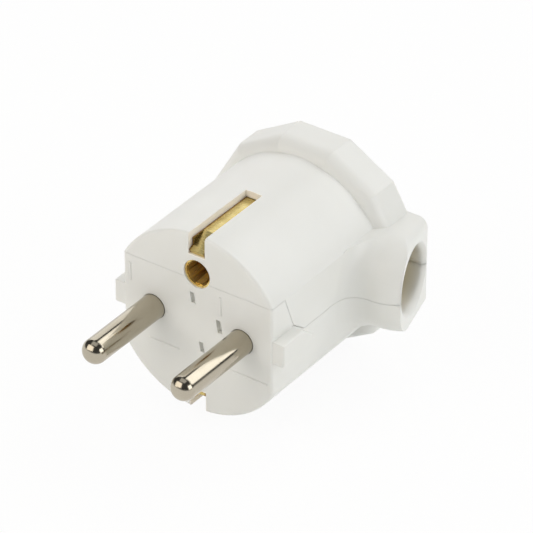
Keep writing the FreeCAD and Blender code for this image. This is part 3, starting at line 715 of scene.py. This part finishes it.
class PlugFinish(bpy.types.PropertyGroup):
    """Colours and gloss of the plug's materials."""

    shell_light: bpy.props.StringProperty(
        name="Shell light", description="Lighter tone of the shells, sRGB hex", default="#E9EAE6")
    shell_dark: bpy.props.StringProperty(
        name="Shell dark", description="Darker tone of the shells, sRGB hex", default="#E4E4DF")
    # Painted shade: the shells' colour deep in the bore
    shell_bore_shade: bpy.props.StringProperty(
        name="Shell inside", description="Tone of the shells deep in the bore, sRGB hex",
        default="#DCC88E")
    # Painted light: the colour of the slot walls beside the brass
    shell_slot_painted_light: bpy.props.StringProperty(
        name="Shell slot", description="Tone of the walls beside the brass, sRGB hex",
        default="#FFF9EE")
    shell_roughness: bpy.props.FloatProperty(
        name="Shell roughness", description="Roughness of the moulded shells", default=0.38,
        min=0.05, max=1.0, subtype="FACTOR")
    pin_light: bpy.props.StringProperty(
        name="Pin light", description="Lighter tone of the nickel, sRGB hex", default="#C0B9A9")
    pin_dark: bpy.props.StringProperty(
        name="Pin dark", description="Darker tone of the nickel, sRGB hex", default="#AFA694")
    pin_roughness: bpy.props.FloatProperty(
        name="Pin roughness", description="Roughness of the polished nickel", default=0.13,
        min=0.02, max=1.0, subtype="FACTOR")
    brass_light: bpy.props.StringProperty(
        name="Brass light", description="Clean tone of the brass, sRGB hex", default="#E0CF92")
    brass_dark: bpy.props.StringProperty(
        name="Brass dark", description="Bloomed tone of the brass, sRGB hex", default="#C2AC66")
    # Painted shade: the brown along the strip's sheared edges
    brass_edge_shade: bpy.props.StringProperty(
        name="Brass edge", description="Tarnished tone of the strip's edges, sRGB hex",
        default="#8A6222")
    brass_roughness: bpy.props.FloatProperty(
        name="Brass roughness", description="Roughness of the rolled brass", default=0.26,
        min=0.02, max=1.0, subtype="FACTOR")


class PlugMarks(bpy.types.PropertyGroup):
    """Raised moulded lines that border the bare fields on the face."""

    height: bpy.props.FloatProperty(
        name="Height", description="How far a line stands out of the face", default=0.14 * MM,
        unit="LENGTH", precision=5)
    width: bpy.props.FloatProperty(
        name="Width", description="Width of a line", default=0.5 * MM, unit="LENGTH", precision=5)


class PlugLeaves(bpy.types.PropertyGroup):
    """Spring leaves that grip the outlet's earth pin inside the sleeve."""

    count: bpy.props.IntProperty(
        name="Count", description="Leaves round the sleeve", default=6, min=3, max=8)
    thickness: bpy.props.FloatProperty(
        name="Thickness", description="Thickness of a leaf", default=0.08 * MM, unit="LENGTH",
        precision=5)
    bow: bpy.props.FloatProperty(
        name="Bow", description="How far a leaf comes in towards the axis", default=0.35 * MM,
        unit="LENGTH", precision=5)


class PlugStage(bpy.types.PropertyGroup):
    """Camera and floor."""

    azimuth: bpy.props.FloatProperty(
        name="Azimuth", description="Camera's turn round the plug",
        default=math.radians(35.354), subtype="ANGLE")
    elevation: bpy.props.FloatProperty(
        name="Elevation", description="Camera's height above the horizon",
        default=math.radians(33.642), subtype="ANGLE")
    roll: bpy.props.FloatProperty(
        name="Roll", description="Camera's turn about its own axis",
        default=math.radians(0.094), subtype="ANGLE")
    distance: bpy.props.FloatProperty(
        name="Distance", description="From the camera to the plane through the origin",
        default=745.53 * MM, unit="LENGTH")
    pan: bpy.props.FloatVectorProperty(
        name="Pan", description="Camera's shift to the right and up", size=2,
        default=(12.107 * MM, 10.018 * MM), unit="LENGTH", precision=5)
    lens: bpy.props.FloatProperty(
        name="Lens", description="Focal length in millimetres", default=288.2, unit="CAMERA")
    floor_hex: bpy.props.StringProperty(
        name="Floor", description="Colour of the floor, sRGB hex", default="#F7F7F5")


# Operators, one for each group of pieces and one for the stage


class PLUG_OT_shells(bpy.types.Operator):
    """Gives the shells and the cord grip their moulded finish"""

    bl_idname = "plug.dress_shells"
    bl_label = "Dress shells"

    def execute(self, context):
        finish = context.scene.plug_finish
        tones = (finish.shell_light, finish.shell_dark, finish.shell_bore_shade, finish.shell_slot_painted_light)
        dress(["upper_shell", "lower_shell"], moulded_abs(
            "satin_moulded_abs", tones, finish.shell_roughness, peel_mm=1.1, edge_mm=0.2))
        dress(["cord_grip_bar"], moulded_abs(
            "matt_moulded_abs", GRIP_TONES, roughness=0.5, peel_mm=0.8, edge_mm=0.2))
        return {"FINISHED"}


class PLUG_OT_marks(bpy.types.Operator):
    """Adds the raised lines that are moulded on the face"""

    bl_idname = "plug.add_marks"
    bl_label = "Add marks"

    def execute(self, context):
        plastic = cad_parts["lower_shell"].data.materials[0]
        for name, ends in MARK_ENDS_MM.items():
            bead = make_bead(name, ends, context.scene.plug_marks, plastic)
            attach(bead, "root")
        return {"FINISHED"}


class PLUG_OT_pins(bpy.types.Operator):
    """Gives the pins their nickel plating"""

    bl_idname = "plug.dress_pins"
    bl_label = "Dress pins"

    def execute(self, context):
        finish = context.scene.plug_finish
        tones = (finish.pin_light, finish.pin_dark)
        dress(["left_pin", "right_pin"], turned_nickel(
            "nickel_plated_turned_brass", tones, finish.pin_roughness, pitch_mm=0.3))
        return {"FINISHED"}


class PLUG_OT_contacts(bpy.types.Operator):
    """Gives the earth contacts and the inserts their brass"""

    bl_idname = "plug.dress_contacts"
    bl_label = "Dress contacts"

    def execute(self, context):
        finish = context.scene.plug_finish
        tones = (finish.brass_light, finish.brass_dark, finish.brass_edge_shade)
        dress(["earth_bracket", "earth_washer", "threaded_inserts"], rolled_brass(
            "bare_rolled_brass", tones, finish.brass_roughness, grain_mm=0.3))
        dress(["earth_socket"], drawn_brass(
            "drawn_brass_with_oxide", SLEEVE_TONES, roughness=0.22))
        return {"FINISHED"}


class PLUG_OT_leaves(bpy.types.Operator):
    """Adds the spring leaves inside the earth sleeve"""

    bl_idname = "plug.add_leaves"
    bl_label = "Add leaves"

    def execute(self, context):
        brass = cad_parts["earth_socket"].data.materials[0]
        leaves = make_leaves("earth_leaves", context.scene.plug_leaves, brass)
        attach(leaves, "root")
        return {"FINISHED"}


class PLUG_OT_screws(bpy.types.Operator):
    """Gives every screw its zinc plating"""

    bl_idname = "plug.dress_screws"
    bl_label = "Dress screws"

    def execute(self, context):
        dress(["terminal_screws", "earth_screw", "cord_grip_screws", "housing_screws"], zinc_steel(
            "zinc_plated_steel", SCREW_TONES, roughness=0.3))
        return {"FINISHED"}


class PLUG_OT_stage(bpy.types.Operator):
    """Sets the floor, the light and the camera"""

    bl_idname = "plug.set_stage"
    bl_label = "Set stage"

    def execute(self, context):
        scene = context.scene
        scene.view_settings.view_transform = "Standard"
        make_floor(scene.plug_stage)
        make_room(scene)
        make_panels(scene)
        make_camera(scene, scene.plug_stage)
        return {"FINISHED"}


class PLUG_PT_sidebar(bpy.types.Panel):
    """Lists the plug's settings and steps."""

    bl_idname = "PLUG_PT_sidebar"
    bl_label = "Mains plug"
    bl_space_type = "VIEW_3D"
    bl_region_type = "UI"
    bl_category = "Plug"

    def draw(self, context):
        for group, kind in SETTINGS.items():
            box = self.layout.box()
            for name in kind.__annotations__:
                box.prop(getattr(context.scene, group), name)
        for operator in STEPS:
            self.layout.operator(operator.bl_idname)


SETTINGS = {
    "plug_finish": PlugFinish,
    "plug_marks": PlugMarks,
    "plug_leaves": PlugLeaves,
    "plug_stage": PlugStage,
}
STEPS = (
    PLUG_OT_shells,
    PLUG_OT_marks,
    PLUG_OT_pins,
    PLUG_OT_contacts,
    PLUG_OT_leaves,
    PLUG_OT_screws,
    PLUG_OT_stage,
)
CLASSES = (*SETTINGS.values(), *STEPS, PLUG_PT_sidebar)


def register():
    """Registers the classes and hangs the settings on the scene."""
    for cls in CLASSES:
        bpy.utils.register_class(cls)
    for name, group in SETTINGS.items():
        setattr(bpy.types.Scene, name, bpy.props.PointerProperty(type=group))


def unregister():
    """Takes the settings and the classes away again."""
    for name in SETTINGS:
        delattr(bpy.types.Scene, name)
    for cls in reversed(CLASSES):
        bpy.utils.unregister_class(cls)


def main():
    """Runs every step in order."""
    register()
    bpy.ops.plug.dress_shells()
    bpy.ops.plug.add_marks()
    bpy.ops.plug.dress_pins()
    bpy.ops.plug.dress_contacts()
    bpy.ops.plug.add_leaves()
    bpy.ops.plug.dress_screws()
    bpy.ops.plug.set_stage()


if __name__ == "__main__":
    main()
